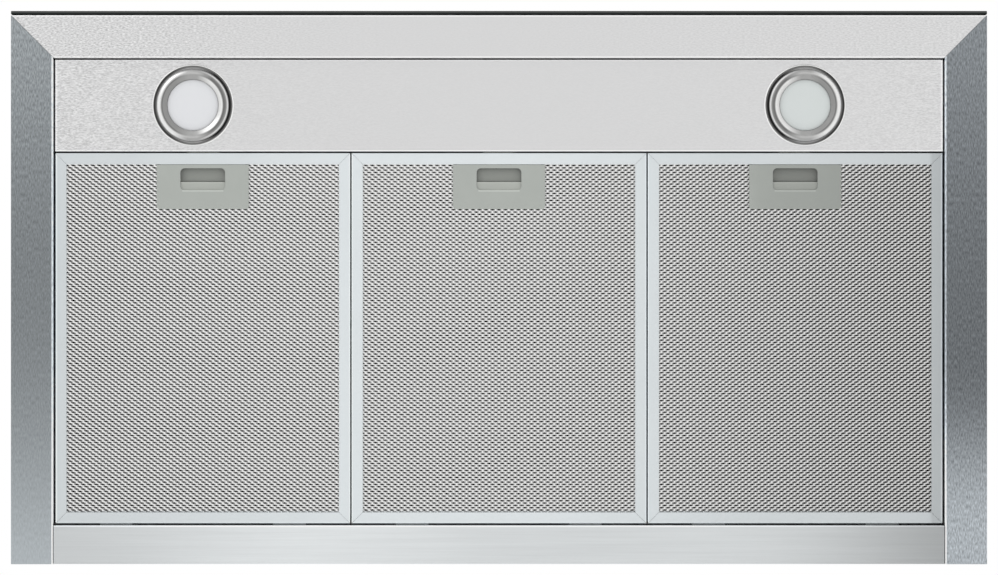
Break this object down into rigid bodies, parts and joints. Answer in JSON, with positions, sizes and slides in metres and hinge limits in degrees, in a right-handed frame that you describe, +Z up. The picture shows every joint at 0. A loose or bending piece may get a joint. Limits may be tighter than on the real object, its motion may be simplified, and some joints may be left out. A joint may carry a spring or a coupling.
{
  "type": "range hood insert",
  "caption": "Built-in range hood insert: folded steel rim, lamp panel with round lamps, latched mesh grease filters, centrifugal blower and round duct collar with damper flaps.",
  "frame": {"origin": "under the middle of the hood, in the plane of the rim's underside", "axes": "+X to the right of someone facing the hood's front, -Y is the front with the glass strip, +Z is up towards the duct"},
  "size_m": [0.9, 0.51, 0.33],
  "materials": {
    "brushed_stainless": "brushed",
    "satin_stainless": "satin",
    "body_steel": "satin",
    "galvanised_steel": "satin",
    "screw_steel": "satin",
    "spring_steel": "satin",
    "satin_chrome": "satin",
    "cast_aluminium": "matte",
    "filter_aluminium": "satin",
    "mesh_aluminium": "satin",
    "damper_aluminium": "satin",
    "motor_case": "satin",
    "black_glass": "gloss",
    "frosted_lens": "matte",
    "grey_plastic": "satin",
    "grey_plastic_dark": "satin",
    "black_plastic": "matte",
    "white_plastic": "satin",
    "capacitor_case": "satin",
    "circuit_board": "satin",
    "lamp_board": "satin",
    "cable_sheath": "matte",
    "black_rubber": "matte",
    "foam_tape": "matte"
  },
  "bodies": {
    "hood": {"side_rim_left": "brushed_stainless", "side_rim_right": "brushed_stainless", "front_rim": "brushed_stainless", "rear_rim": "brushed_stainless", "rim_screws": "screw_steel", "control_glass": "black_glass", "glass_tape": "foam_tape", "control_board": "circuit_board", "control_tray": "black_plastic", "lamp_panel": "satin_stainless", "lamp_partition": "galvanised_steel", "lamp_bezel_left": "satin_chrome", "lamp_bezel_right": "satin_chrome", "lamp_lens_left": "frosted_lens", "lamp_lens_right": "frosted_lens", "lamp_can_left": "cast_aluminium", "lamp_can_right": "cast_aluminium", "lamp_boards": "lamp_board", "lamp_clips": "spring_steel", "lamp_driver": "black_plastic", "lamp_leads": "cable_sheath", "body_wrap": "body_steel", "body_top": "body_steel", "wiring_box": "galvanised_steel", "wiring_cover": "galvanised_steel", "cable_bush": "black_rubber", "capacitor": "capacitor_case", "terminal_block": "white_plastic", "motor_lead": "cable_sheath", "scroll_left": "galvanised_steel", "scroll_right": "galvanised_steel", "motor": "motor_case", "motor_bracket": "galvanised_steel", "motor_grommets": "black_rubber", "motor_screws": "screw_steel", "duct_collar": "galvanised_steel", "damper_pin": "spring_steel", "collar_screws": "screw_steel"},
    "filter_left": {"filter_frame_left": "filter_aluminium", "filter_face_left": "mesh_aluminium", "filter_layers_left": "mesh_aluminium", "latch_plate_left": "grey_plastic", "latch_springs_left": "spring_steel"},
    "latch_left": {"latch_slider_left": "grey_plastic_dark"},
    "filter_middle": {"filter_frame_middle": "filter_aluminium", "filter_face_middle": "mesh_aluminium", "filter_layers_middle": "mesh_aluminium", "latch_plate_middle": "grey_plastic", "latch_springs_middle": "spring_steel"},
    "latch_middle": {"latch_slider_middle": "grey_plastic_dark"},
    "filter_right": {"filter_frame_right": "filter_aluminium", "filter_face_right": "mesh_aluminium", "filter_layers_right": "mesh_aluminium", "latch_plate_right": "grey_plastic", "latch_springs_right": "spring_steel"},
    "latch_right": {"latch_slider_right": "grey_plastic_dark"},
    "impeller": {"impeller": "black_plastic", "motor_shaft": "spring_steel"},
    "damper_front": {"damper_flap_front": "damper_aluminium"},
    "damper_rear": {"damper_flap_rear": "damper_aluminium"}
  },
  "joints": [
    {"name": "filter_left_swing", "type": "hinge", "parent": "hood", "child": "filter_left", "pos_m": [-0.27347, 0.2197, 0.00455], "axis": [1, 0, 0], "range_deg": [0, 60]},
    {"name": "latch_left_slide", "type": "slide", "parent": "filter_left", "child": "latch_left", "axis": [0, 1, 0], "range_m": [0, 0.0055], "stiffness_N_per_m": 200, "springref_m": -0.01, "deforming": ["latch_springs_left"]},
    {"name": "filter_middle_swing", "type": "hinge", "parent": "hood", "child": "filter_middle", "pos_m": [0, 0.2197, 0.00455], "axis": [1, 0, 0], "range_deg": [0, 60]},
    {"name": "latch_middle_slide", "type": "slide", "parent": "filter_middle", "child": "latch_middle", "axis": [0, 1, 0], "range_m": [0, 0.0055], "stiffness_N_per_m": 200, "springref_m": -0.01, "deforming": ["latch_springs_middle"]},
    {"name": "filter_right_swing", "type": "hinge", "parent": "hood", "child": "filter_right", "pos_m": [0.27347, 0.2197, 0.00455], "axis": [1, 0, 0], "range_deg": [0, 60]},
    {"name": "latch_right_slide", "type": "slide", "parent": "filter_right", "child": "latch_right", "axis": [0, 1, 0], "range_m": [0, 0.0055], "stiffness_N_per_m": 200, "springref_m": -0.01, "deforming": ["latch_springs_right"]},
    {"name": "impeller_spin", "type": "hinge", "parent": "hood", "child": "impeller", "pos_m": [0, -0.01633, 0.15], "axis": [1, 0, 0], "continuous": true},
    {"name": "damper_front_swing", "type": "hinge", "parent": "hood", "child": "damper_front", "pos_m": [0, 0.06, 0.2906], "axis": [-1, 0, 0], "range_deg": [0, 75]},
    {"name": "damper_rear_swing", "type": "hinge", "parent": "hood", "child": "damper_rear", "pos_m": [0, 0.06, 0.2906], "axis": [1, 0, 0], "range_deg": [0, 75]}
  ]
}
